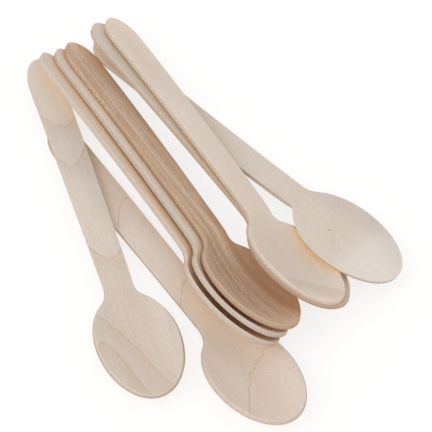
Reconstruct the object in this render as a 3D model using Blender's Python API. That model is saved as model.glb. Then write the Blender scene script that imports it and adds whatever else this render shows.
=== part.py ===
"""A heap of eight disposable wooden spoons, each die-cut from birch veneer and pressed to shape.

All eight are the same spoon. They lie as if tipped out of a packet: one on the left over one in
front, three fanned on top of each other, two nested in a pair, and one turned over whose handle
runs under the pair while its bowl lies on it. Metres, +Z up, the floor at z = 0.
"""
import math
from dataclasses import dataclass

import bmesh
import bpy
import numpy as np
from mathutils import Euler, Matrix, Vector
from mathutils.bvhtree import BVHTree

# The spoon: x runs from the handle's end to the bowl's end and is zero at the bowl's centre
LENGTH = 0.159
THICKNESS = 0.0018
HANDLE_END_WIDTH = 0.0132
HANDLE_NECK_WIDTH = 0.0110
HANDLE_ROUNDING = 0.0125
BOWL_WIDTH = 0.0308
BOWL_FRONT = 0.0255
BOWL_BACK = 0.0228
NECK_BEHIND = 0.0034
NECK_AHEAD = 0.0032

# What the press gives it: a dish in the bowl, and a handle that climbs towards its end
DISH_DEPTH = 0.0059
DISH_RUNOUT = 0.0034
DISH_LIP = 0.14
RISE_AHEAD = 0.0046
HANDLE_RISE = 0.0067
RISE_EASE = 0.0093
HANDLE_BOW = 0.00085

# Its bare, matt finish
ROUGHNESS = 0.75

# How finely the surface is divided, and where shading breaks at the cut edge
SHARP_ANGLE = 40.0
END_STATIONS = 6
HANDLE_STATIONS = 9
NECK_STATIONS = 5
BACK_STATIONS = 6
FRONT_STATIONS = 8
COLUMNS = 6

# How the heap comes to rest
CLEARANCE = 0.0003
CASTING_HEIGHT = 1.0
RIM_STEP = 0.0015
STEEPEST = 0.2
SLOPE_GRAIN = 0.000001
SETTLE_ROUNDS = 5
WEAVE_ROUNDS = 5


@dataclass(frozen=True)
class Lay:
    """Where one spoon lies: its bowl's centre on the plan, its heading and its lean in degrees."""

    x: float
    y: float
    heading: float
    lean: float
    colour: tuple
    turned_over: bool = False


PALE_BIRCH = (209, 192, 178)
WARM_BIRCH = (211, 194, 179)
BROWN_BIRCH = (178, 149, 126)

HEAP = {
    "spoon_front": Lay(0.0142, -0.0712, -54.5, -1.5, WARM_BIRCH),
    "spoon_left": Lay(-0.0271, -0.0590, -70.9, -2.3, PALE_BIRCH),
    "fan_low": Lay(0.0064, -0.0426, -54.6, -37.9, PALE_BIRCH),
    "fan_middle": Lay(0.0094, -0.0400, -56.0, -35.3, PALE_BIRCH),
    "fan_top": Lay(0.0132, -0.0368, -56.4, -27.6, BROWN_BIRCH),
    "pair_low": Lay(0.0304, -0.0259, -52.8, -22.8, PALE_BIRCH),
    "pair_top": Lay(0.0293, -0.0273, -55.9, -29.8, PALE_BIRCH),
    "spoon_turned": Lay(0.0477, -0.0133, -44.7, -13.4, PALE_BIRCH, turned_over=True),
}

WOVEN = ("spoon_turned", "pair_low", "pair_top")
PARTS = ("handle", "bowl")

# Places along the spoon that follow from its sizes
HANDLE_END = BOWL_FRONT - LENGTH
NECK_START = -BOWL_BACK - NECK_BEHIND
NECK_END = -BOWL_BACK + NECK_AHEAD
RISE_START = -BOWL_BACK + RISE_AHEAD


def clear_scene():
    """Empty the file of its objects."""
    for item in list(bpy.data.objects):
        bpy.data.objects.remove(item, do_unlink=True)


def handle_half_width(x):
    """Half the handle's width at x: a long taper with a rounded end."""
    along = (x - HANDLE_END) / (NECK_START - HANDLE_END)
    width = HANDLE_END_WIDTH + (HANDLE_NECK_WIDTH - HANDLE_END_WIDTH) * along
    short_of_full = max(1.0 - (x - HANDLE_END) / HANDLE_ROUNDING, 0.0)
    return width / 2 * math.sqrt(max(1.0 - short_of_full ** 2, 0.0))


def bowl_half_width(x):
    """Half the bowl's width at x: two half ellipses that share their middle."""
    reach = BOWL_FRONT if x > 0 else BOWL_BACK
    return BOWL_WIDTH / 2 * math.sqrt(max(1.0 - (x / reach) ** 2, 0.0))


def bowl_slope():
    """How steeply the bowl's outline widens where the neck's curve joins it."""
    return -BOWL_WIDTH / 2 * NECK_END / BOWL_BACK ** 2 / math.sqrt(1.0 - (NECK_END / BOWL_BACK) ** 2)


def half_width(x):
    """Half the blank's width at x, with a hollow curve from the handle's side into the bowl's."""
    if x <= NECK_START:
        return handle_half_width(x)
    if x >= NECK_END:
        return bowl_half_width(x)
    run = NECK_END - NECK_START
    share = (x - NECK_START) / run
    from_handle = (1 + 2 * share) * (1 - share) ** 2 * HANDLE_NECK_WIDTH / 2
    to_bowl = share ** 2 * (3 - 2 * share) * bowl_half_width(NECK_END)
    return from_handle + to_bowl - share ** 2 * (1 - share) * run * bowl_slope()


def dish(x, y):
    """Height of the dish below the rim's plane."""
    reach = BOWL_FRONT if x > 0 else BOWL_BACK + DISH_RUNOUT
    share = 1.0 - (x / reach) ** 2 - (2 * y / BOWL_WIDTH) ** 2
    return -DISH_DEPTH * (share + math.sqrt(share ** 2 + DISH_LIP ** 2)) / 2


def lift(x):
    """Height that the handle has gained at x, eased in behind the bowl and slightly bowed."""
    run = max(RISE_START - x, 0.0)
    share = run / (RISE_START - HANDLE_END)
    return HANDLE_RISE * share * run / (run + RISE_EASE) + HANDLE_BOW * 4 * share * (1 - share)


def spread(start, end, count, spacing):
    """A number of places from start towards end, without end itself."""
    return [start + (end - start) * spacing(step / count) for step in range(count)]


def evenly(share):
    """Spacing that stays the same."""
    return share


def opening_out(share):
    """Spacing that starts close, as round a rounded end."""
    return 1 - math.cos(share * math.pi / 2)


def closing_up(share):
    """Spacing that ends close, as towards the bowl's tip."""
    return math.sin(share * math.pi / 2)


def stations():
    """Places along the spoon where its surface has a row of points."""
    handle_start = HANDLE_END + HANDLE_ROUNDING
    rows = spread(HANDLE_END, handle_start, END_STATIONS, opening_out)
    rows += spread(handle_start, NECK_START, HANDLE_STATIONS, evenly)
    rows += spread(NECK_START, NECK_END, NECK_STATIONS, evenly)
    rows += spread(NECK_END, 0.0, BACK_STATIONS, evenly)
    rows += spread(0.0, BOWL_FRONT, FRONT_STATIONS, closing_up)
    return rows + [BOWL_FRONT]


def pressed_sheet():
    """The blank's middle surface: rows of points across the spoon, closed to one point at each end."""
    sheet = bmesh.new()
    grid = []
    for x in stations():
        half = half_width(x)
        row = []
        for column in range(COLUMNS + 1):
            y = half * (2 * column / COLUMNS - 1)
            row.append(sheet.verts.new((x, y, dish(x, y) + lift(x))))
        grid.append(row)
    for behind, ahead in zip(grid, grid[1:]):
        for column in range(COLUMNS):
            corners = (behind[column], ahead[column], ahead[column + 1], behind[column + 1])
            sheet.faces.new(corners)
    bmesh.ops.remove_doubles(sheet, verts=sheet.verts, dist=0.000001)
    bmesh.ops.recalc_face_normals(sheet, faces=sheet.faces)
    return sheet


def spoon_mesh():
    """One spoon as a closed solid, the sheet thickened by half the veneer's thickness each way."""
    sheet = pressed_sheet()
    mesh = bpy.data.meshes.new("spoon_sheet")
    sheet.to_mesh(mesh)
    sheet.free()
    blank = bpy.data.objects.new("spoon_blank", mesh)
    bpy.context.scene.collection.objects.link(blank)
    thicken = blank.modifiers.new("veneer", "SOLIDIFY")
    thicken.thickness = THICKNESS
    thicken.offset = 0.0
    thicken.use_even_offset = True
    depsgraph = bpy.context.evaluated_depsgraph_get()
    solid = bpy.data.meshes.new_from_object(blank.evaluated_get(depsgraph))
    solid.name = "spoon"
    bpy.data.objects.remove(blank, do_unlink=True)
    solid.shade_smooth()
    solid.set_sharp_from_angle(angle=math.radians(SHARP_ANGLE))
    return solid


def linear(level):
    """A colour level from 0 to 255, as seen, turned into the linear value that a shader takes."""
    share = level / 255
    return share / 12.92 if share <= 0.04045 else ((share + 0.055) / 1.055) ** 2.4


def veneer(name, colour):
    """Bare matt birch veneer in the given colour."""
    material = bpy.data.materials.new(name)
    material.use_nodes = True
    shader = material.node_tree.nodes["Principled BSDF"]
    shader.inputs["Base Color"].default_value = (*(linear(level) for level in colour), 1.0)
    shader.inputs["Roughness"].default_value = ROUGHNESS
    shader.inputs["Metallic"].default_value = 0.0
    return material


class Resting:
    """One spoon on its way down: its lay is fixed, and its height and its pitch are found."""

    def __init__(self, lay, mesh):
        """Sort the spoon's faces and touching points into its handle's and its bowl's."""
        self.lay = lay
        self.pitch = 0.0
        self.height = LENGTH
        self.corners = [vertex.co.copy() for vertex in mesh.vertices]
        self.probes = {"handle": [], "bowl": []}
        for point in self.corners + rim_points(mesh):
            self.probes[part_at(point.x)].append(point)
        self.faces = {"handle": [], "bowl": []}
        for face in mesh.polygons:
            self.faces[part_at(face.center.x)].append(tuple(face.vertices))
        self.balance = balance_point(mesh)
        self.place()

    def matrix(self):
        """Where the spoon is: leaned about its length, then pitched, then turned to its heading."""
        lean = math.radians(self.lay.lean + (180.0 if self.lay.turned_over else 0.0))
        turn = Euler((lean, -self.pitch, math.radians(self.lay.heading)), "XYZ")
        return Matrix.LocRotScale(Vector((self.lay.x, self.lay.y, self.height)), turn, None)

    def place(self):
        """Bring the touching points and the trees of faces to the spoon's present height and pitch."""
        place = self.matrix()
        corners = [place @ corner for corner in self.corners]
        self.points = {part: [place @ probe for probe in self.probes[part]] for part in self.probes}
        self.trees = {part: BVHTree.FromPolygons(corners, self.faces[part]) for part in self.faces}

    def along(self, point):
        """How far a point lies ahead of the bowl's centre, on the plan and along the heading."""
        heading = math.radians(self.lay.heading)
        return (point.x - self.lay.x) * math.cos(heading) + (point.y - self.lay.y) * math.sin(heading)


def part_at(x):
    """Which part of the spoon lies at x."""
    return "handle" if x < NECK_START else "bowl"


def rim_points(mesh):
    """Points spaced along every edge between a face of the veneer and its cut edge."""
    points = []
    for edge in mesh.edges:
        if edge.use_edge_sharp:
            start = mesh.vertices[edge.vertices[0]].co
            end = mesh.vertices[edge.vertices[1]].co
            count = int((end - start).length / RIM_STEP)
            points.extend(start.lerp(end, (step + 1) / (count + 1)) for step in range(count))
    return points


def balance_point(mesh):
    """How far ahead of the bowl's centre the spoon balances: less than nothing, on its handle."""
    area = sum(face.area for face in mesh.polygons)
    return sum(face.area * face.center.x for face in mesh.polygons) / area


def needs_over(upper, lower, upper_parts, lower_parts):
    """Where and by how much the upper spoon has to rise to clear the lower one."""
    needs = []
    for upper_part in upper_parts:
        for lower_part in lower_parts:
            for point in upper.points[upper_part]:
                from_above = Vector((point.x, point.y, CASTING_HEIGHT))
                top = lower.trees[lower_part].ray_cast(from_above, Vector((0, 0, -1)))[0]
                if top is not None:
                    needs.append((upper.along(point), top.z + CLEARANCE - point.z))
            for point in lower.points[lower_part]:
                from_below = Vector((point.x, point.y, -CASTING_HEIGHT))
                underside = upper.trees[upper_part].ray_cast(from_below, Vector((0, 0, 1)))[0]
                if underside is not None:
                    needs.append((upper.along(point), point.z + CLEARANCE - underside.z))
    return needs


def settle(spoon, supports):
    """Lower or raise the spoon and pitch it until it rests at its lowest on what lies under it.

    Each support is a spoon, with the parts of this spoon that lie over it and its own parts that
    carry them. The spoon's clearance is a straight line along its heading, and the line wanted is
    the one lowest at the balance point of those that no need rises above.
    """
    for _ in range(SETTLE_ROUNDS):
        needs = [(spoon.along(point), -point.z) for part in PARTS for point in spoon.points[part]]
        for lower, upper_parts, lower_parts in supports:
            needs.extend(needs_over(spoon, lower, upper_parts, lower_parts))
        along, need = np.array(needs).T
        least, most = -STEEPEST, STEEPEST
        while most - least > SLOPE_GRAIN:
            lower_third = (2 * least + most) / 3
            upper_third = (least + 2 * most) / 3
            lower_height = height_gained(lower_third, along, need, spoon.balance)
            if lower_height < height_gained(upper_third, along, need, spoon.balance):
                most = upper_third
            else:
                least = lower_third
        spoon.pitch += math.atan(least)
        spoon.height += float(np.max(need - least * along))
        spoon.place()


def height_gained(slope, along, need, balance):
    """Height gained at the balance point by the lowest line of that slope over every need."""
    return np.max(need - slope * along) + slope * balance


def settle_heap(mesh):
    """Lay the spoons one on another in the heap's order, then work the woven three into place.

    The turned spoon's handle lies under the nested pair and its bowl lies on it, so the three are
    settled in turn until they stop moving.
    """
    heap = {name: Resting(lay, mesh) for name, lay in HEAP.items()}
    first = [name for name in HEAP if name not in WOVEN]
    for place, name in enumerate(first):
        settle(heap[name], [(heap[lower], PARTS, PARTS) for lower in first[:place]])
    beneath = [(heap[name], PARTS, PARTS) for name in first]
    turned, low, top = (heap[name] for name in WOVEN)
    settle(turned, beneath)
    for _ in range(WEAVE_ROUNDS):
        settle(low, beneath + [(turned, PARTS, ("handle",))])
        settle(top, beneath + [(turned, PARTS, ("handle",)), (low, PARTS, PARTS)])
        settle(turned, beneath + [(low, ("bowl",), PARTS), (top, ("bowl",), PARTS)])
    return heap


def middle_of(heap):
    """The middle of the heap's box on the plan."""
    points = [point for spoon in heap.values() for part in PARTS for point in spoon.points[part]]
    middle_x = (min(point.x for point in points) + max(point.x for point in points)) / 2
    middle_y = (min(point.y for point in points) + max(point.y for point in points)) / 2
    return Vector((middle_x, middle_y, 0.0))


def main():
    """Model one spoon, settle eight of them and stand the heap's middle on the origin."""
    clear_scene()
    spoon = spoon_mesh()
    heap = settle_heap(spoon)
    middle = middle_of(heap)
    for name, resting in heap.items():
        item = bpy.data.objects.new(name, spoon.copy())
        bpy.context.scene.collection.objects.link(item)
        item.matrix_world = Matrix.Translation(-middle) @ resting.matrix()
        item.data.materials.append(veneer(name + "_veneer", resting.lay.colour))
    bpy.data.meshes.remove(spoon)


main()
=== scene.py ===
"""The looks of a heap of eight wooden spoons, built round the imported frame.

Every spoon is modelled as it is made: a blank is cut from birch veneer, pressed to shape, and its cut
edges are eased. One spoon is modelled, and a copy of it takes the place of each solid of the frame,
with a birch finish of its own. Sizes are in metres, and places in the wood's figure in millimetres.
"""
import logging
import math
from dataclasses import dataclass, field
from enum import Enum

import bmesh
import bpy
import numpy as np
from mathutils import Matrix, Vector


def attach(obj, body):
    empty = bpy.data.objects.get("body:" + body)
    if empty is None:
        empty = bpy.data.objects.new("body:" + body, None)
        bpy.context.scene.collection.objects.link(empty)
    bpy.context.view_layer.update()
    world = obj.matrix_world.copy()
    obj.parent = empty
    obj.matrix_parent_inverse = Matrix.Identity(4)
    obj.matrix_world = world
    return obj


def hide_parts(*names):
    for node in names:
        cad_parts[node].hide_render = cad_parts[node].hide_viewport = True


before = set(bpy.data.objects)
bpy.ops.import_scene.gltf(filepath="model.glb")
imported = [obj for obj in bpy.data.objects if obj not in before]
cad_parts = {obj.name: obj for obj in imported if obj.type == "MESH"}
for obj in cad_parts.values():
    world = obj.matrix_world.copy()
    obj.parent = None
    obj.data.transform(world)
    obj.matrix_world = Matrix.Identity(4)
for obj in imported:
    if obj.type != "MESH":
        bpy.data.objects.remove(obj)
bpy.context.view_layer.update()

log = logging.getLogger("spoons")

Triple = tuple[float, float, float]
Paint = tuple[float, float, float, float]
Socket = bpy.types.NodeSocket

MILLIMETRE = 0.001
BLANK_PLACE = "blank_place"

# Corners this close along the spoon are in one row of the blank.
SAME_ROW = 0.01 * MILLIMETRE

# Corners this close to the plane that halves a spoon are on its spine.
ON_SPINE = 0.02 * MILLIMETRE

# The other corner of a cut edge is at least this far from the first.
OTHER_CORNER = 0.5 * MILLIMETRE

# A noise strays about a quarter from its middle, and this makes that a full swing.
NOISE_MIDDLE = 0.5
NOISE_SWING = 4.0

# How far from one seed to the next the wood lies in the noise: along, across and through the veneer.
SEED_STEPS = (7.1, 3.7, 1.3)

OCCLUSION_RAYS = 8


class Spacing(Enum):
    """How stations are spread along a stretch of the die's line."""

    EVEN = "even"
    OPENING_OUT = "opening out"
    CLOSING_UP = "closing up"


def stations(start: float, end: float, count: int, spacing: Spacing = Spacing.EVEN) -> list[float]:
    """Spread places from start towards end, without end itself.

    Args:
        start: The first place.
        end: Where the stretch ends.
        count: How many places there are.
        spacing: Even, or close together at one end.

    Returns:
        The places in order.
    """
    shares = [step / count for step in range(count)]
    if spacing is Spacing.OPENING_OUT:
        shares = [1.0 - math.cos(share * math.pi / 2) for share in shares]
    if spacing is Spacing.CLOSING_UP:
        shares = [math.sin(share * math.pi / 2) for share in shares]
    return [start + (end - start) * share for share in shares]


def select_only(item: bpy.types.Object) -> None:
    """Deselect everything, then select the item and make it active.

    Args:
        item: The object that the next operators work on.
    """
    bpy.ops.object.select_all(action="DESELECT")
    item.select_set(True)
    bpy.context.view_layer.objects.active = item


@dataclass(frozen=True)
class Die:
    """The cutting die: x runs from the handle's end to the bowl's end, and is zero at the bowl's centre."""

    length: float = 0.159
    end_width: float = 0.0132
    neck_width: float = 0.0110
    end_rounding: float = 0.0125
    bowl_width: float = 0.0308
    bowl_front: float = 0.0255
    bowl_back: float = 0.0228
    neck_behind: float = 0.0034
    neck_ahead: float = 0.0032

    @property
    def handle_end(self) -> float:
        """Where the handle ends."""
        return self.bowl_front - self.length

    @property
    def neck_start(self) -> float:
        """Where the handle's straight side turns into the neck's hollow curve."""
        return -self.bowl_back - self.neck_behind

    @property
    def neck_end(self) -> float:
        """Where the neck's hollow curve joins the bowl's outline."""
        return -self.bowl_back + self.neck_ahead

    def handle_half_width(self, x: float) -> float:
        """Find half the handle's width: a long taper with a rounded end.

        Args:
            x: Place along the spoon.

        Returns:
            The half width there.
        """
        along = (x - self.handle_end) / (self.neck_start - self.handle_end)
        width = self.end_width + (self.neck_width - self.end_width) * along
        short_of_full = max(1.0 - (x - self.handle_end) / self.end_rounding, 0.0)
        return width / 2 * math.sqrt(max(1.0 - short_of_full**2, 0.0))

    def bowl_half_width(self, x: float) -> float:
        """Half the bowl's width at x: two half ellipses that share their middle."""
        reach = self.bowl_front if x > 0 else self.bowl_back
        return self.bowl_width / 2 * math.sqrt(max(1.0 - (x / reach) ** 2, 0.0))

    def bowl_slope(self) -> float:
        """How steeply the bowl's outline widens where the neck's curve joins it."""
        share = self.neck_end / self.bowl_back
        return -self.bowl_width / 2 * share / self.bowl_back / math.sqrt(1.0 - share**2)

    def half_width(self, x: float) -> float:
        """Find half the blank's width, with a hollow curve from the handle's side into the bowl's.

        Args:
            x: Place along the spoon.

        Returns:
            The half width there.
        """
        if x <= self.neck_start:
            return self.handle_half_width(x)
        if x >= self.neck_end:
            return self.bowl_half_width(x)
        run = self.neck_end - self.neck_start
        share = (x - self.neck_start) / run
        from_handle = (1 + 2 * share) * (1 - share) ** 2 * self.neck_width / 2
        to_bowl = share**2 * (3 - 2 * share) * self.bowl_half_width(self.neck_end)
        return from_handle + to_bowl - share**2 * (1 - share) * run * self.bowl_slope()


@dataclass(frozen=True)
class Press:
    """The heated press: a dish in the bowl, and a handle that climbs towards its end."""

    dish_depth: float = 0.0059
    dish_runout: float = 0.0034
    dish_lip: float = 0.14
    rise_ahead: float = 0.0046
    handle_rise: float = 0.0067
    rise_ease: float = 0.0093
    handle_bow: float = 0.00085

    def height(self, die: Die, x: float, y: float) -> float:
        """How high the pressed veneer's middle lies above the rim's plane.

        Args:
            die: The die that cut the blank.
            x: Place along the spoon.
            y: Place across the spoon.

        Returns:
            The height, less than nothing in the dish.
        """
        reach = die.bowl_front if x > 0 else die.bowl_back + self.dish_runout
        share = 1.0 - (x / reach) ** 2 - (2 * y / die.bowl_width) ** 2
        dish = self.dish_depth * (share + math.sqrt(share**2 + self.dish_lip**2)) / 2
        rise_start = -die.bowl_back + self.rise_ahead
        run = max(rise_start - x, 0.0)
        risen = run / (rise_start - die.handle_end)
        climb = self.handle_rise * risen * run / (run + self.rise_ease)
        return climb + self.handle_bow * 4 * risen * (1 - risen) - dish


@dataclass
class Spoon:
    """One spoon, modelled in its own frame and then copied to each place in the heap."""

    die: Die = field(default_factory=Die)
    press: Press = field(default_factory=Press)
    thickness: float = 0.0018
    eased_edge: float = 0.00028
    eased_steps: int = 3
    columns: int = 16
    corner_turn: float = math.radians(48.0)
    end_rows: int = 6
    handle_rows: int = 30
    neck_rows: int = 9
    back_rows: int = 10
    front_rows: int = 12
    smooth_below: float = math.radians(50.0)

    @property
    def handle_corner(self) -> float:
        """Where the handle's end row lies before it is bowed out."""
        return self.die.handle_end + self.die.end_rounding * (1 - math.cos(self.corner_turn))

    @property
    def bowl_corner(self) -> float:
        """Where the bowl's end row lies before it is bowed out."""
        return self.die.bowl_front * math.cos(self.corner_turn)

    def row_places(self) -> list[float]:
        """Find the places along the spoon where a row crosses it.

        Returns:
            The places from the handle's end row to the bowl's.
        """
        die = self.die
        handle_start = die.handle_end + die.end_rounding
        places = stations(self.handle_corner, handle_start, self.end_rows)
        places += stations(handle_start, die.neck_start, self.handle_rows)
        places += stations(die.neck_start, die.neck_end, self.neck_rows)
        places += stations(die.neck_end, 0.0, self.back_rows, Spacing.OPENING_OUT)
        places += stations(0.0, self.bowl_corner, self.front_rows, Spacing.CLOSING_UP)
        return places + [self.bowl_corner]

    def cut_blank(self) -> bpy.types.Object:
        """Cut the flat blank: a strip is drawn out row by row to the die's line, and divided across.

        Returns:
            The blank, flat on the rim's plane.
        """
        places = self.row_places()
        widths = [2 * self.die.half_width(place) for place in places]
        bpy.ops.object.select_all(action="DESELECT")
        bpy.ops.mesh.primitive_plane_add(size=widths[0])
        blank = bpy.context.object
        bpy.ops.object.mode_set(mode="EDIT")
        bpy.ops.mesh.select_all(action="SELECT")
        bpy.ops.transform.translate(value=(places[0] + widths[0] / 2, 0.0, 0.0))
        self.keep_first_row(blank, places[0])
        for behind, place, width_behind, width in zip(places, places[1:], widths, widths[1:]):
            bpy.ops.mesh.extrude_region_move(TRANSFORM_OT_translate={"value": (place - behind, 0.0, 0.0)})
            widening = (1.0, width / width_behind, 1.0)
            bpy.ops.transform.resize(value=widening, center_override=(place, 0.0, 0.0))
        self.divide_across(blank)
        bpy.ops.object.mode_set(mode="OBJECT")
        self.round_ends(blank)
        return blank

    def keep_first_row(self, blank: bpy.types.Object, place: float) -> None:
        """Delete the plane's far edge, and leave its near edge selected as the blank's first row.

        Args:
            blank: The plane, in edit mode.
            place: Where its near edge lies.
        """
        mesh = bmesh.from_edit_mesh(blank.data)
        for vertex in mesh.verts:
            vertex.select_set(vertex.co.x > place + self.thickness)
        mesh.select_flush_mode()
        bmesh.update_edit_mesh(blank.data)
        bpy.ops.mesh.delete(type="VERT")
        bpy.ops.mesh.select_all(action="SELECT")

    def divide_across(self, blank: bpy.types.Object) -> None:
        """Divide every row into columns.

        Args:
            blank: The strip of rows, in edit mode.
        """
        mesh = bmesh.from_edit_mesh(blank.data)
        for edge in mesh.edges:
            edge.select_set(False)
        for edge in mesh.edges:
            first, second = edge.verts
            if abs(first.co.x - second.co.x) < SAME_ROW:
                edge.select_set(True)
        bmesh.update_edit_mesh(blank.data)
        bpy.ops.mesh.subdivide(number_cuts=self.columns - 1)
        bpy.ops.mesh.select_all(action="SELECT")
        bpy.ops.mesh.normals_make_consistent(inside=False)

    def round_ends(self, blank: bpy.types.Object) -> None:
        """Bow the rows out towards both rounded ends, the end rows right onto the die's line.

        Args:
            blank: The strip of rows and columns.
        """
        die = self.die
        for vertex in blank.data.vertices:
            x, y, _ = vertex.co
            turned = math.asin(math.sin(self.corner_turn) * max(min(y / die.half_width(x), 1.0), -1.0))
            bulge = math.cos(turned) - math.cos(self.corner_turn)
            to_bowl = max(1.0 - (self.bowl_corner - x) / self.bowl_corner, 0.0)
            to_end = max(1.0 - (x - self.handle_corner) / die.end_rounding, 0.0)
            vertex.co.x += bulge * (die.bowl_front * to_bowl - die.end_rounding * to_end)

    def press_to_shape(self, blank: bpy.types.Object) -> None:
        """Press the dish and the handle's rise into the flat blank."""
        for vertex in blank.data.vertices:
            vertex.co.z = self.press.height(self.die, vertex.co.x, vertex.co.y)

    def thicken(self, blank: bpy.types.Object) -> None:
        """Give the sheet its thickness and ease its cut edges.

        Args:
            blank: The pressed sheet, with a slot for its faces and one for its cut edge.
        """
        select_only(blank)
        veneer = blank.modifiers.new("veneer", "SOLIDIFY")
        veneer.thickness = self.thickness
        veneer.offset = 0.0
        veneer.use_even_offset = True
        veneer.material_offset_rim = 1
        bpy.ops.object.modifier_apply(modifier=veneer.name)
        easing = blank.modifiers.new("easing", "BEVEL")
        easing.width = self.eased_edge
        easing.segments = self.eased_steps
        easing.limit_method = "ANGLE"
        easing.angle_limit = self.smooth_below
        easing.material = 1
        bpy.ops.object.modifier_apply(modifier=easing.name)
        bpy.ops.object.shade_smooth_by_angle(angle=self.smooth_below)

    def note_blank_place(self, spoon: bpy.types.Object) -> None:
        """Keep each point's place in the blank as an attribute, so that the grain follows the spoon.

        Args:
            spoon: The thickened spoon.
        """
        places = spoon.data.attributes.new(BLANK_PLACE, "FLOAT_VECTOR", "POINT")
        for vertex, place in zip(spoon.data.vertices, places.data):
            x, y, z = vertex.co
            place.vector = (x, y, z - self.press.height(self.die, x, y))

    def model(self) -> bpy.types.Object:
        """Model the spoon in its own frame.

        Returns:
            The finished spoon, with slots for its faces and its cut edge.
        """
        spoon = self.cut_blank()
        spoon.data.materials.append(None)
        spoon.data.materials.append(None)
        self.press_to_shape(spoon)
        self.thicken(spoon)
        self.note_blank_place(spoon)
        return spoon

    def spine_frame(self) -> Matrix:
        """Find the frame that spine_of finds on a solid, here in the spoon's own frame.

        Returns:
            The frame as a matrix.
        """
        handle_end = Vector((self.die.handle_end, 0.0, self.press.height(self.die, self.die.handle_end, 0.0)))
        rim = Vector((0.0, 0.0, self.press.height(self.die, 0.0, self.die.bowl_width / 2)))
        return frame_on(handle_end, rim, Vector((0.0, 0.0, 1.0)))


def frame_on(start: Vector, end: Vector, up: Vector) -> Matrix:
    """A frame at start whose x axis points to end and whose z axis leans to up.

    Args:
        start: The frame's origin.
        end: A point on its x axis.
        up: A direction on its z axis' side.

    Returns:
        The frame as a matrix.
    """
    ahead = (end - start).normalized()
    across = up.cross(ahead).normalized()
    square_up = ahead.cross(across)
    turn = Matrix((ahead, across, square_up)).transposed().to_4x4()
    return Matrix.Translation(start) @ turn


def surface_axes(mesh: bpy.types.Mesh) -> tuple[np.ndarray, np.ndarray, np.ndarray]:
    """Find the middle of a surface and its two longest axes, each triangle weighed by its area.

    Args:
        mesh: The surface.

    Returns:
        The middle, the direction of the greatest spread and that of the next.
    """
    mesh.calc_loop_triangles()
    places = np.array([vertex.co for vertex in mesh.vertices])
    triangles = places[np.array([triangle.vertices for triangle in mesh.loop_triangles])]
    sides = triangles[:, 1:] - triangles[:, :1]
    areas = np.linalg.norm(np.cross(sides[:, 0], sides[:, 1]), axis=1) / 2
    middle = np.average(triangles.mean(axis=1), axis=0, weights=areas)
    offsets = triangles - middle
    sums = offsets.sum(axis=1)
    spread = np.einsum("n,nki,nkj->ij", areas, offsets, offsets) + np.einsum("n,ni,nj->ij", areas, sums, sums)
    directions = np.linalg.eigh(spread)[1]
    return middle, directions[:, 2], directions[:, 1]


def rim_point(corners: np.ndarray, reach: np.ndarray) -> np.ndarray:
    """Find the middle of the cut edge where a spoon reaches furthest to one side.

    Args:
        corners: The spoon's corners.
        reach: How far each lies to that side.

    Returns:
        The point halfway between the edge's two corners there.
    """
    widest = corners[np.argmax(reach)]
    apart = np.linalg.norm(corners - widest, axis=1)
    partner = corners[np.argmin(np.where(apart > OTHER_CORNER, apart, np.inf))]
    return (widest + partner) / 2


def spine_of(node: bpy.types.Object) -> Matrix:
    """Find how a solid of the frame lies, from its handle's end and the widest points of its bowl.

    A spoon is the same on both sides of its spine, so its surface's middle and longest axis lie on
    the plane that halves it, and its next axis stands square to that plane.

    Args:
        node: The solid as the frame holds it.

    Returns:
        A frame at the handle's end, its x axis to the middle of the rim and its z axis out of the dish.
    """
    middle, ahead, across = surface_axes(node.data)
    corners = np.unique([vertex.co for vertex in node.data.vertices], axis=0)
    reach = (corners - middle) @ across
    rim = (rim_point(corners, reach) + rim_point(corners, -reach)) / 2
    ahead = ahead * np.sign((rim - middle) @ ahead)
    spine = corners[np.abs(reach) < ON_SPINE]
    endmost = np.argsort((spine - middle) @ ahead)[:2]
    handle_end = spine[endmost].mean(axis=0)
    line = (rim - handle_end) / np.linalg.norm(rim - handle_end)
    offsets = spine - handle_end
    drops = offsets - np.outer(offsets @ line, line)
    deepest = drops[np.argmax(np.linalg.norm(drops, axis=1))]
    return frame_on(Vector(handle_end), Vector(rim), -Vector(deepest))


def linear(level: float) -> float:
    """Turn a colour level from 0 to 255, as seen, into the value that a shader takes."""
    share = level / 255
    return share / 12.92 if share <= 0.04045 else ((share + 0.055) / 1.055) ** 2.4


def shade(colour: Triple) -> Paint:
    """Turn a colour as seen into a shader's colour."""
    return (*(linear(level) for level in colour), 1.0)


@dataclass(frozen=True)
class Waves:
    """A noise in the wood: waves a metre along, across and through the veneer, and its finer layers."""

    stretch: Triple
    detail: float = 2.0
    roughness: float = 0.6


CLOUDS = Waves((20.0, 80.0, 0.0), roughness=0.5)
GRAIN = Waves((40.0, 1300.0, 60.0), detail=3.0, roughness=0.65)
FACE_FUZZ = Waves((900.0, 2400.0, 900.0))
CUT_FUZZ = Waves((1500.0, 1500.0, 2600.0))
FIBRES = Waves((1500.0, 900.0, 900.0))
WANDER = Waves((60.0, 260.0, 0.0), detail=3.0)


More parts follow.
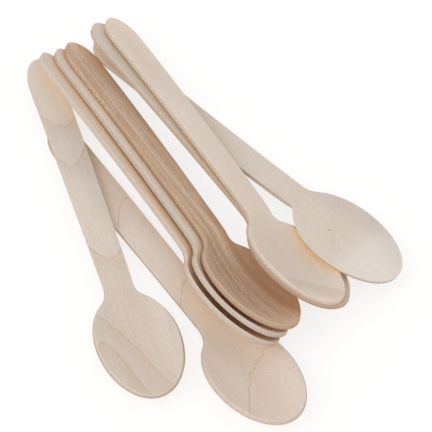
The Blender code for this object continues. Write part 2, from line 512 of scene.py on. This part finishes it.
class Nodes:
    """A node tree, filled and joined with short calls."""

    def __init__(self, tree: bpy.types.NodeTree) -> None:
        """Empty the tree."""
        self.tree = tree
        self.tree.nodes.clear()

    def feed(self, socket: Socket, value: object) -> None:
        """Give a socket a value, or join another node's output to it.

        Args:
            socket: The input.
            value: A value, or an output.
        """
        if isinstance(value, bpy.types.NodeSocket):
            self.tree.links.new(value, socket)
        else:
            socket.default_value = value

    def node(self, kind: str, inputs: dict[str, object] | None = None, **settings: object) -> bpy.types.Node:
        """Add a node.

        Args:
            kind: The node's type.
            inputs: What its inputs are fed, by name.
            **settings: Its own settings, by name.

        Returns:
            The node.
        """
        node = self.tree.nodes.new(kind)
        for name, value in settings.items():
            setattr(node, name, value)
        for name, value in (inputs or {}).items():
            self.feed(node.inputs[name], value)
        return node

    def math(self, operation: str, *values: object) -> Socket:
        """Add a math node.

        Args:
            operation: What it does.
            *values: The numbers or outputs that it works on.

        Returns:
            The result.
        """
        node = self.node("ShaderNodeMath", operation=operation)
        for socket, value in zip(node.inputs, values):
            self.feed(socket, value)
        return node.outputs[0]

    def ramp(self, value: object, low: float, high: float, at_low: float, at_high: float) -> Socket:
        """Carry a value smoothly from one level to another, and hold it outside the range.

        Args:
            value: What is read.
            low: Where the range starts.
            high: Where it ends.
            at_low: The result up to its start.
            at_high: The result from its end on.

        Returns:
            The result.
        """
        inputs = {"Value": value, "From Min": low, "From Max": high, "To Min": at_low, "To Max": at_high}
        return self.node("ShaderNodeMapRange", inputs, interpolation_type="SMOOTHSTEP").outputs["Result"]

    def between(self, value: Socket, start: float, end: float, taper: float) -> Socket:
        """Find what lies between two places.

        Args:
            value: The place that is read.
            start: Where the stretch starts.
            end: Where it ends.
            taper: How long it takes to set in and to run out.

        Returns:
            One between the two places and nothing outside.
        """
        begun = self.ramp(value, start, start + taper, 0.0, 1.0)
        ended = self.ramp(value, end - taper, end, 1.0, 0.0)
        return self.math("MULTIPLY", begun, ended)

    def blend(self, share: object, first: object, second: object, way: str = "MIX") -> Socket:
        """Mix two colours. A Mix node keeps its colours' inputs at 6 and 7, and their output at 2.

        Args:
            share: How much of the second there is.
            first: The colour mixed into.
            second: The colour mixed in.
            way: How they are mixed.

        Returns:
            The mixed colour.
        """
        node = self.node("ShaderNodeMix", data_type="RGBA", blend_type=way)
        self.feed(node.inputs[0], share)
        self.feed(node.inputs[6], first)
        self.feed(node.inputs[7], second)
        return node.outputs[2]

    def join(self, share: object, first: Socket, second: Socket) -> Socket:
        """Mix two shaders.

        Args:
            share: How much of the second there is.
            first: The shader mixed into.
            second: The shader mixed in.

        Returns:
            The mixed shader.
        """
        node = self.node("ShaderNodeMixShader")
        for socket, value in zip(node.inputs, (share, first, second)):
            self.feed(socket, value)
        return node.outputs[0]


class Recipe(Nodes):
    """A material's nodes."""

    def __init__(self, name: str) -> None:
        """Start an empty material.

        Args:
            name: The material's name.
        """
        self.material = bpy.data.materials.new(name)
        self.material.use_nodes = True
        super().__init__(self.material.node_tree)

    def place_in_blank(self) -> Socket:
        """A point's place in the spoon's blank."""
        return self.node("ShaderNodeAttribute", attribute_name=BLANK_PLACE).outputs["Vector"]

    def in_millimetres(self, place: Socket) -> tuple[Socket, Socket, Socket]:
        """Take a place apart.

        Args:
            place: The place, in metres.

        Returns:
            How far it lies along, across and above the blank's middle, in millimetres.
        """
        inputs = {"Vector": place, "Scale": 1.0 / MILLIMETRE}
        scaled = self.node("ShaderNodeVectorMath", inputs, operation="SCALE").outputs[0]
        return tuple(self.node("ShaderNodeSeparateXYZ", {"Vector": scaled}).outputs)

    def noise(self, place: Socket, waves: Waves, shift: Triple) -> Socket:
        """Add a noise.

        Args:
            place: The coordinates it reads.
            waves: Its kind.
            shift: Where in the noise the spoon lies.

        Returns:
            The noise, about 0.5 on the whole.
        """
        mapping = self.node("ShaderNodeMapping", {"Vector": place, "Scale": waves.stretch, "Location": shift})
        stretched = mapping.outputs[0]
        inputs = {"Vector": stretched, "Scale": 1.0, "Detail": waves.detail, "Roughness": waves.roughness}
        return self.node("ShaderNodeTexNoise", inputs).outputs["Fac"]

    def finish(self, shader: Socket) -> bpy.types.Material:
        """Join the shader to the output.

        Args:
            shader: The finished shader.

        Returns:
            The material.
        """
        self.node("ShaderNodeOutputMaterial", {"Surface": shader})
        return self.material


@dataclass(frozen=True)
class GrowthLine:
    """A line where a year's growth ends: x = place + slant * y + bow * y * y in the blank, in millimetres.

    Darker wood lies ahead of it, as strong as shade beside the line, and fades out over fade.
    """

    place: float
    slant: float = 0.0
    bow: float = 0.0
    depth: float = 0.5
    width: float = 0.5
    fade: float = 9.0
    shade: float = 0.4
    core: float = 0.2

    def mask(self, recipe: Recipe, x: Socket, y: Socket, wander: Socket) -> Socket:
        """Find how much the line colours a point: a thin line, and darker wood that fades ahead of it.

        Args:
            recipe: The material's nodes.
            x: Place along the blank.
            y: Place across the blank.
            wander: How far the line strays from its course there.

        Returns:
            The share of the line's colour.
        """
        bowed = recipe.math("MULTIPLY_ADD", y, self.bow, self.slant)
        course = recipe.math("MULTIPLY_ADD", bowed, y, self.place)
        ahead = recipe.math("ADD", recipe.math("SUBTRACT", x, course), wander)
        slope = recipe.math("MULTIPLY_ADD", y, 2.0 * self.bow, self.slant)
        lengthening = recipe.math("SQRT", recipe.math("MULTIPLY_ADD", slope, slope, 1.0))
        apart = recipe.math("DIVIDE", ahead, lengthening)
        aside = recipe.math("ABSOLUTE", apart)
        thin = recipe.ramp(aside, self.core * self.width, self.width, self.depth, 0.0)
        begun = recipe.ramp(apart, -self.width, self.width, 0.0, self.depth * self.shade)
        faded = recipe.ramp(apart, 0.0, self.fade, 1.0, 0.0)
        return recipe.math("MAXIMUM", thin, recipe.math("MULTIPLY", begun, faded))


@dataclass(frozen=True)
class Streak:
    """A streak along the grain: y = offset + drift * x + bow * x * x in the blank, in millimetres."""

    offset: float
    drift: float = 0.0
    bow: float = 0.0
    width: float = 0.5
    depth: float = 0.5
    start: float = -140.0
    end: float = 30.0
    taper: float = 12.0

    def mask(self, recipe: Recipe, x: Socket, y: Socket) -> Socket:
        """Find how much the streak colours a point.

        Args:
            recipe: The material's nodes.
            x: Place along the blank.
            y: Place across the blank.

        Returns:
            The share of the streak's colour.
        """
        bowed = recipe.math("MULTIPLY_ADD", x, self.bow, self.drift)
        course = recipe.math("MULTIPLY_ADD", bowed, x, self.offset)
        aside = recipe.math("ABSOLUTE", recipe.math("SUBTRACT", y, course))
        thin = recipe.ramp(aside, 0.0, self.width, self.depth, 0.0)
        return recipe.math("MULTIPLY", thin, recipe.between(x, self.start, self.end, self.taper))


@dataclass(frozen=True)
class Speck:
    """A small dark pin knot at a place in the blank, in millimetres. Its slimness is width over length."""

    x: float
    y: float
    size: float = 0.3
    slimness: float = 0.6
    depth: float = 0.65
    core: float = 0.2

    def mask(self, recipe: Recipe, x: Socket, y: Socket) -> Socket:
        """Find how much the knot colours a point.

        Args:
            recipe: The material's nodes.
            x: Place along the blank.
            y: Place across the blank.

        Returns:
            The share of the knot's colour.
        """
        across = recipe.math("SUBTRACT", y, self.y)
        along = recipe.math("MULTIPLY", recipe.math("SUBTRACT", x, self.x), self.slimness)
        squares = [recipe.math("MULTIPLY", side, side) for side in (across, along)]
        apart_squared = recipe.math("ADD", *squares)
        return recipe.ramp(apart_squared, self.core * self.size**2, self.size**2, self.depth, 0.0)


@dataclass(frozen=True)
class PaintedGlowAndShade:
    """Painted glow and shade where other wood stands close: the tint is full below one openness, none above
    another.
    """

    tint: Triple = (1.07, 0.97, 0.82)
    full: float = 0.2
    none: float = 0.85
    within: float = 0.012

    @property
    def colour(self) -> Paint:
        """The tint as a shader's colour."""
        return (*self.tint, 1.0)


@dataclass(frozen=True)
class PaintedGapShade:
    """Painted shade deep in a narrow gap: the wood is blended to a greyer colour, fully where nothing is
    open, none above an openness.
    """

    colour: Triple = (226, 208, 196)
    none: float = 0.25
    share: float = 0.7


@dataclass(frozen=True)
class CutFinish:
    """The cut edge: the die's marks, a painted highlight above and painted shade below. Its places in the
    blank are in millimetres.
    """

    fuzz_low: float = 0.35
    fuzz_high: float = 0.75
    least_edge: float = 0.55
    torn: Triple = (246, 228, 206)
    torn_low: float = 0.5
    torn_high: float = 0.58
    torn_share: float = 0.6
    torn_taper: float = 4.0
    highlight_start: float = 0.5
    highlight_end: float = 0.8
    highlight_share: float = 0.8
    lower_shade: Triple = (190, 144, 110)
    lower_shade_start: float = -0.1
    lower_shade_end: float = -0.7
    lower_shade_from: float = -32.0
    lower_shade_to: float = -16.0
    lower_shade_handle: float = 0.2
    relief: float = 0.08


@dataclass(frozen=True)
class Birch:
    """One spoon's birch.

    The face has two tones, face and deep, and the cut edge one, edge, with a paler border, cut, that is a
    painted highlight along its upper arris. The colour called line is the growth lines' and the dark
    streaks'. Passing is the share of the light that goes through, the lower shade share says how strong the
    painted shade along the cut edge's lower border is, and turned that the underside shows.
    """

    slot: str
    seed: float
    face: Triple = (236, 231, 225)
    deep: Triple = (219, 205, 192)
    line: Triple = (213, 188, 158)
    cut: Triple = (242, 237, 231)
    edge: Triple = (213, 200, 187)
    streak: Triple = (246, 230, 212)
    pin_knot: Triple = (92, 66, 48)
    deep_share: float = 0.35
    clouds: float = 0.2
    grain: float = 0.2
    fuzz: float = 0.3
    growth_lines: tuple[GrowthLine, ...] = ()
    pale_streaks_and_painted_light: tuple[Streak, ...] = ()
    dark_streaks: tuple[Streak, ...] = ()
    specks: tuple[Speck, ...] = ()
    wander: float = 5.0
    frayed: tuple[float, float] = (0.0, 0.0)
    relief: float = 0.05
    roughness: float = 0.85
    specular: float = 0.12
    bump: float = 0.6
    passing: float = 0.35
    warmth: Paint = (1.02, 0.9, 0.7, 1.0)
    face_glow_and_shade: PaintedGlowAndShade = PaintedGlowAndShade()
    cut_glow_and_shade: PaintedGlowAndShade = PaintedGlowAndShade()
    side_blur: float = 0.2
    gap: PaintedGapShade = PaintedGapShade()
    cut_finish: CutFinish = CutFinish()
    lower_shade_share: float = 0.3
    turned: bool = False

    def dress(self, name: str) -> tuple[bpy.types.Material, bpy.types.Material]:
        """Make the materials of the faces and the cut edge."""
        return self.dress_face(name + "_face"), self.dress_cut(name + "_cut")

    def shift(self) -> Triple:
        """Where in the noise this spoon's wood lies."""
        return tuple(self.seed * step for step in SEED_STEPS)

    def paint_glow_and_shade(self, recipe: Recipe, colour: Socket, close: PaintedGlowAndShade, tint: object) -> Socket:
        """Paint glow and shade where other wood stands close, and greyer shade deep in narrow gaps. Light on
        its way through the veneer meets no tint.

        Args:
            recipe: The material's nodes.
            colour: The wood's colour.
            close: How close the other wood has to be.
            tint: The colour of the painted glow and shade there.

        Returns:
            The colour with painted glow and shade.
        """
        rays = recipe.node("ShaderNodeAmbientOcclusion", {"Distance": close.within}, samples=OCCLUSION_RAYS)
        openness = rays.outputs["AO"]
        inside = recipe.node("ShaderNodeNewGeometry").outputs["Backfacing"]
        outside = recipe.math("SUBTRACT", 1.0, inside)
        # Painted glow and shade: the colour is multiplied by the tint where other wood stands close, on the
        # outer side only.
        shaded = recipe.ramp(openness, close.full, close.none, 1.0, 0.0)
        # Painted shade: deep in narrow gaps the colour is blended to a greyer one, on the outer side only.
        painted_gap_shade = recipe.ramp(openness, 0.0, self.gap.none, self.gap.share, 0.0)
        tinted = recipe.blend(1.0, colour, tint, "MULTIPLY")
        colour = recipe.blend(recipe.math("MULTIPLY", shaded, outside), colour, tinted)
        return recipe.blend(recipe.math("MULTIPLY", painted_gap_shade, outside), colour, shade(self.gap.colour))

    def bare_wood(self, recipe: Recipe, colour: Socket, height: Socket) -> Socket:
        """Bare matt wood, thin enough for some of the light to pass through it and turn warmer.

        Args:
            recipe: The material's nodes.
            colour: The wood's colour.
            height: The bump's height, in millimetres.

        Returns:
            The shader's output.
        """
        relief = {"Strength": self.bump, "Distance": MILLIMETRE, "Height": height}
        normal = recipe.node("ShaderNodeBump", relief).outputs[0]
        matt = {"Roughness": self.roughness, "Specular IOR Level": self.specular}
        surface = recipe.node("ShaderNodeBsdfPrincipled", {"Base Color": colour, "Normal": normal, **matt})
        warmed = recipe.blend(1.0, colour, self.warmth, "MULTIPLY")
        through = recipe.node("ShaderNodeBsdfTranslucent", {"Color": warmed, "Normal": normal})
        return recipe.join(self.passing, surface.outputs[0], through.outputs[0])

    def draw_figure(self, recipe: Recipe, colour: Socket, place: Socket, x: Socket, y: Socket) -> Socket:
        """Draw this spoon's growth lines, streaks and pin knots into the face, and painted light drawn as a
        pale streak.

        Args:
            recipe: The material's nodes.
            colour: The plain face's colour.
            place: Place in the blank, in metres.
            x: Place along the blank, in millimetres.
            y: Place across the blank, in millimetres.

        Returns:
            The figured face's colour.
        """
        swing = recipe.math("SUBTRACT", recipe.noise(place, WANDER, self.shift()), NOISE_MIDDLE)
        wander = recipe.math("MULTIPLY", swing, self.wander)
        marks = [(line.mask(recipe, x, y, wander), self.line) for line in self.growth_lines]
        marks += [(streak.mask(recipe, x, y), self.line) for streak in self.dark_streaks]
        marks += [(streak.mask(recipe, x, y), self.streak) for streak in self.pale_streaks_and_painted_light]
        marks += [(speck.mask(recipe, x, y), self.pin_knot) for speck in self.specks]
        for share, stain in marks:
            colour = recipe.blend(share, colour, shade(stain))
        return colour

    def dress_face(self, name: str) -> bpy.types.Material:
        """Make the veneer's face: broad clouds, lengthwise grain, a fine fuzz, this spoon's own figure, and
        painted glow and shade near other wood.

        Args:
            name: The material's name.

        Returns:
            The material.
        """
        recipe = Recipe(name)
        place = recipe.place_in_blank()
        x, y, level = recipe.in_millimetres(place)
        clouds = recipe.noise(place, CLOUDS, self.shift())
        grain = recipe.noise(place, GRAIN, self.shift())
        fuzz = recipe.noise(place, FACE_FUZZ, self.shift())
        depth = self.deep_share
        for noise, strength in ((clouds, self.clouds), (grain, self.grain), (fuzz, self.fuzz)):
            swing = recipe.math("SUBTRACT", noise, NOISE_MIDDLE)
            depth = recipe.math("MULTIPLY_ADD", swing, strength * NOISE_SWING, depth)
        colour = recipe.blend(depth, shade(self.face), shade(self.deep))
        colour = self.draw_figure(recipe, colour, place, x, y)
        # The painted glow and shade take this spoon's own tint on the side that shows, and the plain tint
        # underneath.
        upwards = recipe.math("MULTIPLY", level, -1.0 if self.turned else 1.0)
        seen = recipe.ramp(upwards, -self.side_blur, self.side_blur, 0.0, 1.0)
        tint = recipe.blend(seen, PaintedGlowAndShade().colour, self.face_glow_and_shade.colour)
        colour = self.paint_glow_and_shade(recipe, colour, self.face_glow_and_shade, tint)
        height = recipe.math("MULTIPLY_ADD", grain, self.relief, recipe.math("MULTIPLY", fuzz, self.relief))
        return recipe.finish(self.bare_wood(recipe, colour, height))

    def fray(self, recipe: Recipe, colour: Socket, place: Socket, x: Socket) -> Socket:
        """Strew short pale fibres where the die has torn the edge.

        Args:
            recipe: The material's nodes.
            colour: The cut edge's colour.
            place: Place in the blank, in metres.
            x: Place along the blank, in millimetres.

        Returns:
            The frayed edge's colour.
        """
        finish = self.cut_finish
        fibres = recipe.noise(place, FIBRES, self.shift())
        torn = recipe.ramp(fibres, finish.torn_low, finish.torn_high, 0.0, finish.torn_share)
        stretch = recipe.between(x, *self.frayed, finish.torn_taper)
        return recipe.blend(recipe.math("MULTIPLY", torn, stretch), colour, shade(finish.torn))

    def dress_cut(self, name: str) -> bpy.types.Material:
        """Make the cut edge: fuzzy cut fibres, a painted highlight along its upper border and painted shade
        along its lower one.

        Args:
            name: The material's name.

        Returns:
            The material.
        """
        recipe = Recipe(name)
        finish = self.cut_finish
        place = recipe.place_in_blank()
        x, _, level = recipe.in_millimetres(place)
        fuzz = recipe.noise(place, CUT_FUZZ, self.shift())
        depth = recipe.ramp(fuzz, finish.fuzz_low, finish.fuzz_high, finish.least_edge, 1.0)
        colour = recipe.blend(depth, shade(self.face), shade(self.edge))
        # Painted highlight: the cut edge's upper border is paler.
        border = recipe.ramp(level, finish.highlight_start, finish.highlight_end, 0.0, finish.highlight_share)
        colour = recipe.blend(border, colour, shade(self.cut))
        if self.frayed[1] > self.frayed[0]:
            colour = self.fray(recipe, colour, place, x)
        # Painted shade: the cut edge's lower border turns brown, most strongly at the bowl.
        lower = recipe.ramp(level, finish.lower_shade_end, finish.lower_shade_start, self.lower_shade_share, 0.0)
        at_bowl = recipe.ramp(x, finish.lower_shade_from, finish.lower_shade_to, finish.lower_shade_handle, 1.0)
        colour = recipe.blend(recipe.math("MULTIPLY", lower, at_bowl), colour, shade(finish.lower_shade))
        colour = self.paint_glow_and_shade(recipe, colour, self.cut_glow_and_shade, self.cut_glow_and_shade.colour)
        return recipe.finish(self.bare_wood(recipe, colour, recipe.math("MULTIPLY", fuzz, finish.relief)))


@dataclass
class Heap:
    """The eight spoons in their places."""

    spoon: Spoon = field(default_factory=Spoon)
    finishes: dict[str, Birch] = field(default_factory=dict)

    def lay(self) -> list[bpy.types.Object]:
        """Copy the spoon to every solid of the frame and dress the copies.

        Returns:
            The dressed spoons.
        """
        pattern = self.spoon.model()
        own = self.spoon.spine_frame().inverted()
        laid = []
        for node_name, finish in self.finishes.items():
            mesh = pattern.data.copy()
            mesh.name = node_name + "_veneer"
            mesh.transform(spine_of(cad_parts[node_name]) @ own)
            piece = bpy.data.objects.new(mesh.name, mesh)
            bpy.context.scene.collection.objects.link(piece)
            for index, material in enumerate(finish.dress(node_name)):
                mesh.materials[index] = material
            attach(piece, "root")
            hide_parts(node_name)
            log.info("%s: %d faces", piece.name, len(mesh.polygons))
            laid.append(piece)
        bpy.data.objects.remove(pattern, do_unlink=True)
        return laid


@dataclass
class Studio:
    """A white table, soft light all round and a camera that looks down on the heap."""

    aim: Vector = field(default_factory=lambda: Vector((0.00238, 0.00424, 0.0)))
    elevation: float = math.radians(56.08)
    roll: float = math.radians(1.24)
    distance: float = 1.037
    lens: float = 230.4
    sensor: float = 36.0
    nearest: float = 0.05
    furthest: float = 100.0
    table_sides: int = 96
    table_radius: float = 12.0
    table_thickness: float = 0.02
    table_colour: Paint = (0.95, 0.91, 0.85, 1.0)
    glow: float = 1.04
    glow_share: float = 0.75
    sky: float = 0.915
    sky_colour: Paint = (0.97, 0.985, 1.0, 1.0)
    key_place: Triple = (-1.1, -0.6, 1.2)
    key_size: float = 1.0
    key_power: float = 7.0

    def stand_camera(self) -> None:
        """Stand the camera where the picture was taken from."""
        back = Vector((0.0, -math.cos(self.elevation), math.sin(self.elevation)))
        bpy.ops.object.camera_add(location=self.aim + back * self.distance)
        camera = bpy.context.object
        camera.name = "camera"
        camera.rotation_mode = "QUATERNION"
        turn = (-back).to_track_quat("-Z", "Y")
        camera.rotation_quaternion = turn @ Matrix.Rotation(self.roll, 4, "Z").to_quaternion()
        camera.data.lens = self.lens
        camera.data.sensor_width = self.sensor
        camera.data.clip_start = self.nearest
        camera.data.clip_end = self.furthest
        bpy.context.scene.camera = camera

    def lay_table(self) -> None:
        """Lay a round table top whose surface is the floor."""
        bpy.ops.object.select_all(action="DESELECT")
        size = {"vertices": self.table_sides, "radius": self.table_radius}
        bpy.ops.mesh.primitive_circle_add(fill_type="NGON", **size)
        table = bpy.context.object
        table.name = "table"
        bpy.ops.object.mode_set(mode="EDIT")
        bpy.ops.mesh.select_all(action="SELECT")
        down = (0.0, 0.0, -self.table_thickness)
        bpy.ops.mesh.extrude_region_move(TRANSFORM_OT_translate={"value": down})
        bpy.ops.mesh.select_all(action="SELECT")
        bpy.ops.mesh.normals_make_consistent(inside=False)
        bpy.ops.object.mode_set(mode="OBJECT")
        table.data.materials.append(self.white_paper())

    def white_paper(self) -> bpy.types.Material:
        """Make the table's white: warm paper to the light, with a share of glow to the eye.

        Returns:
            The material.
        """
        recipe = Recipe("table_white")
        ray = recipe.node("ShaderNodeLightPath")
        seen = recipe.math("MAXIMUM", ray.outputs["Is Camera Ray"], ray.outputs["Is Glossy Ray"])
        seen = recipe.math("MAXIMUM", seen, ray.outputs["Is Transmission Ray"])
        paper = recipe.node("ShaderNodeBsdfDiffuse", {"Color": self.table_colour})
        glow = recipe.node("ShaderNodeEmission", {"Strength": self.glow})
        share = recipe.math("MULTIPLY", seen, self.glow_share)
        return recipe.finish(recipe.join(share, paper.outputs[0], glow.outputs[0]))

    def hang_sky(self) -> None:
        """Light everything softly from all round, with a white background."""
        world = bpy.data.worlds.new("white_room")
        bpy.context.scene.world = world
        world.use_nodes = True
        nodes = Nodes(world.node_tree)
        ray = nodes.node("ShaderNodeLightPath")
        soft = nodes.node("ShaderNodeBackground", {"Color": self.sky_colour, "Strength": self.sky})
        white = nodes.node("ShaderNodeBackground", {"Color": (1.0, 1.0, 1.0, 1.0), "Strength": 1.0})
        room = nodes.join(ray.outputs["Is Camera Ray"], soft.outputs[0], white.outputs[0])
        nodes.node("ShaderNodeOutputWorld", {"Surface": room})

    def hang_key_lamp(self) -> None:
        """Hang a square soft lamp that faces the heap."""
        bpy.ops.object.light_add(type="AREA", location=self.key_place)
        lamp = bpy.context.object
        lamp.name = "key_lamp"
        lamp.data.size = self.key_size
        lamp.data.energy = self.key_power
        lamp.rotation_mode = "QUATERNION"
        lamp.rotation_quaternion = (self.aim - Vector(self.key_place)).to_track_quat("-Z", "Y")

    def build(self) -> None:
        """Build the whole studio."""
        bpy.context.scene.view_settings.view_transform = "Standard"
        self.stand_camera()
        self.lay_table()
        self.hang_sky()
        self.hang_key_lamp()


PALE = "pale_birch"
WARM = "warm_birch"
BROWN = "brown_birch"


def front_birch() -> Birch:
    """Make the birch of the spoon whose bowl is nearest.

    Returns:
        A warm birch with three growth lines, painted glow and shade beside the fan, and a little painted
        shade along its cut edge's lower border.
    """
    return Birch(
        WARM,
        seed=1.0,
        face=(239, 233, 228),
        deep=(223, 208, 196),
        lower_shade_share=0.15,
        face_glow_and_shade=PaintedGlowAndShade((1.12, 1.04, 0.93)),
        growth_lines=(
            GrowthLine(-86.7, -1.05, 0.07, shade=0.1),
            GrowthLine(-43.9, -1.0, 0.03, shade=0.1),
            GrowthLine(-0.8, -0.95, 0.042, shade=0.1),
        ),
    )


def left_birch() -> Birch:
    """Make the birch of the leftmost spoon.

    Returns:
        A pale birch with three growth lines in the handle and two in the bowl, painted glow where the fan
        lies close, and painted shade along its bowl's lower edge.
    """
    return Birch(
        PALE,
        seed=2.0,
        lower_shade_share=0.55,
        face_glow_and_shade=PaintedGlowAndShade((1.38, 1.31, 1.14)),
        growth_lines=(
            GrowthLine(-99.6, 0.31, -0.13),
            GrowthLine(-80.7, -0.34, -0.17),
            GrowthLine(-36.5, 0.34, -0.17),
            GrowthLine(2.4, 2.9, 0.13),
            GrowthLine(48.3, 8.44, 0.3475),
        ),
    )


def low_fan_birch() -> Birch:
    """Make the birch of the fan's lowest spoon.

    Returns:
        A plain pale birch with painted brown shade beside the next spoon.
    """
    return Birch(
        PALE,
        seed=3.0,
        face=(234, 226, 217),
        deep=(216, 199, 182),
        cut=(230, 216, 202),
        edge=(207, 191, 175),
        passing=0.2,
        face_glow_and_shade=PaintedGlowAndShade((1.08, 0.82, 0.6), full=0.72, none=1.0),
    )


def middle_fan_birch() -> Birch:
    """Make the birch of the fan's middle spoon.

    Returns:
        A plain pale birch with a little painted brown shade beside the next spoon.
    """
    return Birch(
        PALE,
        seed=4.0,
        face=(236, 230, 222),
        deep=(219, 204, 190),
        cut=(227, 213, 198),
        edge=(202, 185, 168),
        passing=0.2,
        face_glow_and_shade=PaintedGlowAndShade((1.08, 0.9, 0.74), full=0.6, none=1.0),
    )


def brown_birch() -> Birch:
    """Make the birch of the fan's top spoon.

    Returns:
        A brown heartwood with streaks that follow its curved grain, and a frayed edge.
    """
    drift, bow = 0.1155, 0.00055
    return Birch(
        BROWN,
        seed=5.0,
        face=(231, 205, 180),
        deep=(201, 167, 136),
        line=(188, 146, 113),
        cut=(225, 202, 178),
        edge=(200, 170, 143),
        grain=0.5,
        clouds=0.3,
        fuzz=0.5,
        passing=0.25,
        frayed=(-127.0, -92.0),
        pale_streaks_and_painted_light=(
            Streak(3.96, drift, bow, width=0.7, depth=0.5, start=-136.0, end=-6.0),
            Streak(5.0, drift, bow, width=0.4, depth=0.35, start=-90.0, end=6.0),
        ),
        dark_streaks=(
            Streak(7.3, drift, bow, width=2.6, depth=0.55, start=-45.0, end=26.0),
            Streak(1.8, drift, bow, width=0.8, depth=0.4, start=-60.0, end=24.0),
            Streak(-2.6, 0.05, width=0.7, depth=0.35, start=-40.0, end=20.0),
            Streak(-7.0, -0.02, width=0.8, depth=0.3, start=-24.0, end=18.0),
            # A broad band that darkens one side of the spoon along its whole length.
            Streak(9.0, width=10.0, depth=0.45, start=-150.0, end=28.0),
        ),
    )


def low_pair_birch() -> Birch:
    """The birch of the pair's lower spoon: pale, with a warm cut edge and painted shade along its lower
    border.
    """
    return Birch(PALE, seed=6.0, cut=(234, 214, 194), edge=(212, 188, 165), lower_shade_share=0.6)


def top_pair_birch() -> Birch:
    """Make the birch of the pair's upper spoon.

    Returns:
        The palest birch, with painted yellow glow where other wood is close, and a soft line across the bowl
        with darker colour ahead of it.
    """
    return Birch(
        PALE,
        seed=7.0,
        face=(248, 241, 233),
        deep=(235, 221, 206),
        lower_shade_share=0.5,
        face_glow_and_shade=PaintedGlowAndShade((1.56, 1.32, 0.95), none=0.88, within=0.018),
        # A soft line across the bowl, with darker colour ahead of it towards the bowl's end.
        growth_lines=(GrowthLine(9.6, 0.9, 0.1, depth=0.22, width=1.6, fade=12.0, shade=0.9),),
    )


def turned_birch() -> Birch:
    """Make the birch of the turned spoon.

    Returns:
        A darker birch with a pin knot, painted light that makes it paler towards the bowl's end, and painted
        light near the table and other wood.
    """
    return Birch(
        PALE,
        seed=8.0,
        face=(229, 217, 205),
        deep=(213, 196, 181),
        lower_shade_share=0.0,
        passing=0.15,
        turned=True,
        face_glow_and_shade=PaintedGlowAndShade((1.24, 1.18, 1.12)),
        cut_glow_and_shade=PaintedGlowAndShade((1.3, 1.2, 1.1)),
        growth_lines=(GrowthLine(-7.3, 0.93, 0.0, depth=0.15, width=1.0),),
        # Painted light: a broad pale band in the streak colour brightens the bowl's end.
        streak=(250, 247, 244),
        pale_streaks_and_painted_light=(Streak(0.0, width=40.0, depth=0.4, start=2.0, end=60.0),),
        specks=(Speck(-3.2, 6.7, 0.33),),
    )


def finishes() -> dict[str, Birch]:
    """Gather the spoons' birches.

    Returns:
        The birch of each of the frame's nodes.
    """
    return {
        "spoon_front": front_birch(),
        "spoon_left": left_birch(),
        "fan_low": low_fan_birch(),
        "fan_middle": middle_fan_birch(),
        "fan_top": brown_birch(),
        "pair_low": low_pair_birch(),
        "pair_top": top_pair_birch(),
        "spoon_turned": turned_birch(),
    }


def main() -> None:
    """Build the studio and the heap, and report each piece."""
    logging.basicConfig(level=logging.INFO, format="%(name)s: %(message)s")
    Studio().build()
    log.info("studio ready")
    pieces = Heap(finishes=finishes()).lay()
    log.info("%d spoons laid", len(pieces))


if __name__ == "__main__":
    main()
